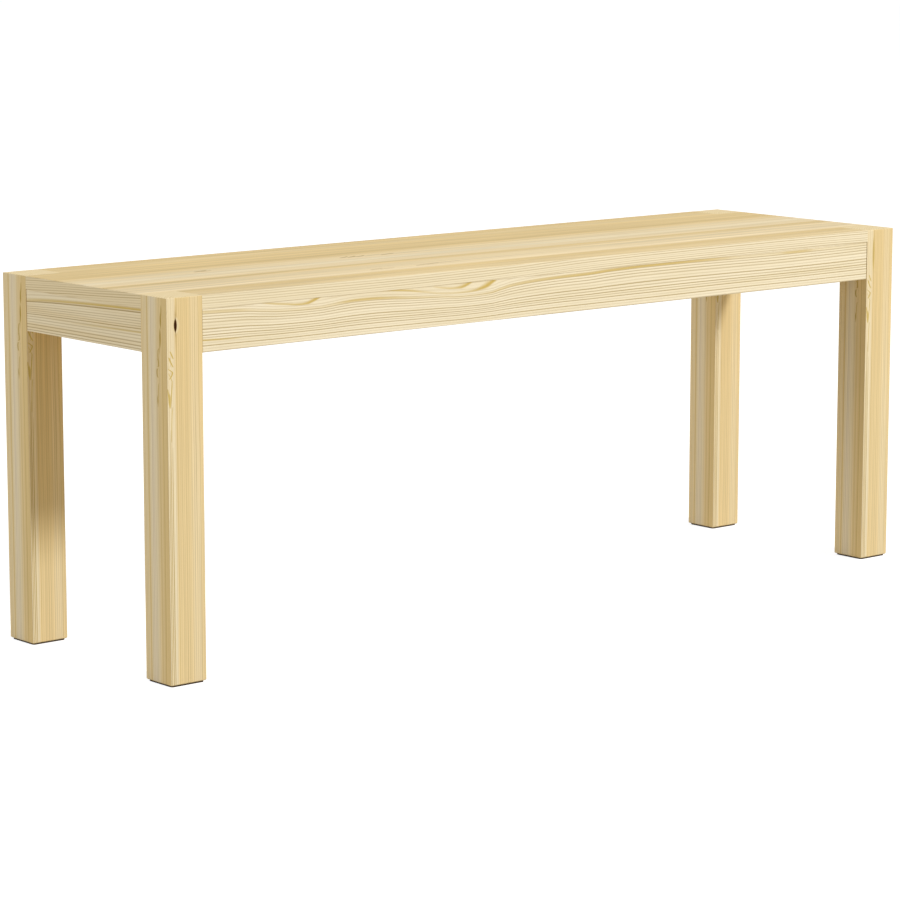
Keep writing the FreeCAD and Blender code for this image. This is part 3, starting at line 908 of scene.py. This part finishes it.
def add_washer(mesh, place):
    """A flat washer with rounded edges."""
    thickness = place[2]
    outline = WASHER_FACE + [(radius, thickness - height) for radius, height in reversed(WASHER_FACE)]
    skin(mesh, place, [ring_of(radius, height) for radius, height in outline], True)


def add_nut(mesh, place):
    """A hexagon nut, with its corners chamfered at both faces and its bore opened at both mouths."""
    thickness = place[2]
    lower_edge = []
    for side in range(ROUND_SIDES):
        angle = 2.0 * math.pi * side / ROUND_SIDES
        rim = NUT_FLAT / math.cos(angle % (math.pi / 3.0) - math.pi / 6.0)
        drop = (rim - NUT_CROWN) * math.tan(NUT_CHAMFER)
        lower_edge.append((rim * math.cos(angle), rim * math.sin(angle), drop))
    mouth = [ring_of(NUT_BORE, NUT_MOUTH_DEPTH), ring_of(NUT_MOUTH, 0.0)]
    lower_face = mouth + [ring_of(NUT_CROWN, 0.0), lower_edge]
    upper_face = [[(x, y, thickness - height) for x, y, height in ring] for ring in reversed(lower_face)]
    skin(mesh, place, lower_face + upper_face, True)


def fit(node, name, way, add):
    """One piece with all the fasteners of a node, in their places."""
    mesh = bmesh.new()
    for place in places(node, way):
        add(mesh, place)
    bmesh.ops.recalc_face_normals(mesh, faces=mesh.faces)
    data = bpy.data.meshes.new(name)
    mesh.to_mesh(data)
    mesh.free()
    data.shade_smooth()
    data.set_sharp_from_angle(angle=SHARP_ANGLE)
    data.materials.append(plain_materials["zinc_steel"])
    piece = bpy.data.objects.new(name, data)
    bpy.context.scene.collection.objects.link(piece)
    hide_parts(node)
    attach(piece, "root")


fit("hanger_bolts", "threaded_hanger_bolts", to_the_corner, add_bolt)
fit("bolt_washers", "rounded_washers", to_the_corner, add_washer)
fit("bolt_nuts", "chamfered_nuts", to_the_corner, add_nut)
fit("corner_block_screws", "cross_head_block_screws", to_the_apron, add_screw)
fit("seat_screws", "cross_head_seat_screws", upwards, add_screw)


# Studio: a white floor that shows a shadow only close to the feet, an even white surround, a soft key light
# from the front right and a weak fill from the rear left

KEY_LEVEL = 0.63
KEY_PLACE = Vector((3.26, -7.0, 6.36))
KEY_WIDTH = 1.49
FILL_LEVEL = 0.22
FILL_PLACE = Vector((-5.9, 4.1, 3.5))
FILL_WIDTH = 4.0
SURROUND_LEVEL = 0.5
FLOOR_COLOUR = (0.6, 0.55, 0.46, 1.0)
FLOOR_LIFT = (0.705, 0.74, 0.805, 1.0)
FLOOR_HALF = 40.0
GLIDE_LAP = 0.001
PICTURE_WIDTH = 900.0
FOCAL_LENGTH = 3416.6
SENSOR_WIDTH = 36.0
CAMERA_PLACE = (-2.8185, -3.2935, 0.9251)
CAMERA_DOWN = 9.6268
CAMERA_TURN = -40.1541
VIEW_LIMIT = 200.0


def seen_directly(tree):
    """1 for rays that show the background, 0 for rays that only light other things."""
    path = tree.nodes.new("ShaderNodeLightPath")
    total = path.outputs["Is Camera Ray"]
    for name in ("Is Glossy Ray", "Is Transmission Ray"):
        node = tree.nodes.new("ShaderNodeMath")
        node.operation = "MAXIMUM"
        tree.links.new(total, node.inputs[0])
        tree.links.new(path.outputs[name], node.inputs[1])
        total = node.outputs[0]
    return total


def make_floor():
    """White from above. From below it is clear, and open under the glides, so that light reaches them."""
    mesh = bpy.data.meshes.new("floor")
    lap = Vector((GLIDE_LAP, GLIDE_LAP, 0.0))
    breaks = []
    for glide in ("felt_glide_front_left", "felt_glide_rear_right"):
        low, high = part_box(glide)
        breaks.extend((low + lap, high - lap))
    columns = [-FLOOR_HALF, *(point.x for point in breaks), FLOOR_HALF]
    rows = [-FLOOR_HALF, *(point.y for point in breaks), FLOOR_HALF]
    corners = [(x, y, 0.0) for y in rows for x in columns]
    step = len(columns)
    tiles = []
    for row in range(len(rows) - 1):
        for column in range(step - 1):
            under_glide = row % 2 and column % 2
            if not under_glide:
                start = row * step + column
                tiles.append((start, start + 1, start + step + 1, start + step))
    mesh.from_pydata(corners, [], tiles)
    floor = bpy.data.objects.new("floor", mesh)
    bpy.context.scene.collection.objects.link(floor)
    material = bpy.data.materials.new("floor_white")
    material.use_nodes = True
    tree = material.node_tree
    tree.nodes.remove(tree.nodes["Principled BSDF"])
    matt = tree.nodes.new("ShaderNodeBsdfDiffuse")
    matt.inputs["Color"].default_value = FLOOR_COLOUR
    lift = tree.nodes.new("ShaderNodeEmission")
    lift.inputs["Color"].default_value = FLOOR_LIFT
    tree.links.new(seen_directly(tree), lift.inputs["Strength"])
    both = tree.nodes.new("ShaderNodeAddShader")
    tree.links.new(matt.outputs[0], both.inputs[0])
    tree.links.new(lift.outputs[0], both.inputs[1])
    clear = tree.nodes.new("ShaderNodeBsdfTransparent")
    side = tree.nodes.new("ShaderNodeNewGeometry")
    one_sided = tree.nodes.new("ShaderNodeMixShader")
    tree.links.new(side.outputs["Backfacing"], one_sided.inputs[0])
    tree.links.new(both.outputs[0], one_sided.inputs[1])
    tree.links.new(clear.outputs[0], one_sided.inputs[2])
    tree.links.new(one_sided.outputs[0], tree.nodes["Material Output"].inputs["Surface"])
    mesh.materials.append(material)


def make_surround():
    """White to the eye, and an even light of its own level on the bench."""
    world = bpy.data.worlds.new("surround")
    bpy.context.scene.world = world
    world.use_nodes = True
    tree = world.node_tree
    background = tree.nodes["Background"]
    background.inputs["Color"].default_value = (1.0, 1.0, 1.0, 1.0)
    level = tree.nodes.new("ShaderNodeMapRange")
    level.inputs["To Min"].default_value = SURROUND_LEVEL
    level.inputs["To Max"].default_value = 1.0
    tree.links.new(seen_directly(tree), level.inputs["Value"])
    tree.links.new(level.outputs[0], background.inputs["Strength"])


def make_lamp(name, place, width, level):
    """A round lamp turned to the bench, as strong there as a plain light of this level."""
    lamp = bpy.data.lights.new(name, "AREA")
    lamp.shape = "DISK"
    lamp.size = width
    lamp.energy = level * math.pi ** 2 * place.length_squared
    piece = bpy.data.objects.new(name, lamp)
    piece.location = place
    piece.rotation_euler = (-place).to_track_quat("-Z", "Y").to_euler()
    piece.visible_camera = False
    bpy.context.scene.collection.objects.link(piece)


def make_camera():
    """A long lens before the left front corner, looking a little down."""
    data = bpy.data.cameras.new("camera")
    data.sensor_width = SENSOR_WIDTH
    data.lens = SENSOR_WIDTH * FOCAL_LENGTH / PICTURE_WIDTH
    data.clip_end = VIEW_LIMIT
    camera = bpy.data.objects.new("camera", data)
    camera.location = CAMERA_PLACE
    camera.rotation_euler = (math.radians(90.0 - CAMERA_DOWN), 0.0, math.radians(CAMERA_TURN))
    bpy.context.scene.collection.objects.link(camera)
    bpy.context.scene.camera = camera


make_floor()
make_surround()
make_lamp("key", KEY_PLACE, KEY_WIDTH, KEY_LEVEL)
make_lamp("fill", FILL_PLACE, FILL_WIDTH, FILL_LEVEL)
make_camera()
bpy.context.scene.view_settings.view_transform = "Standard"
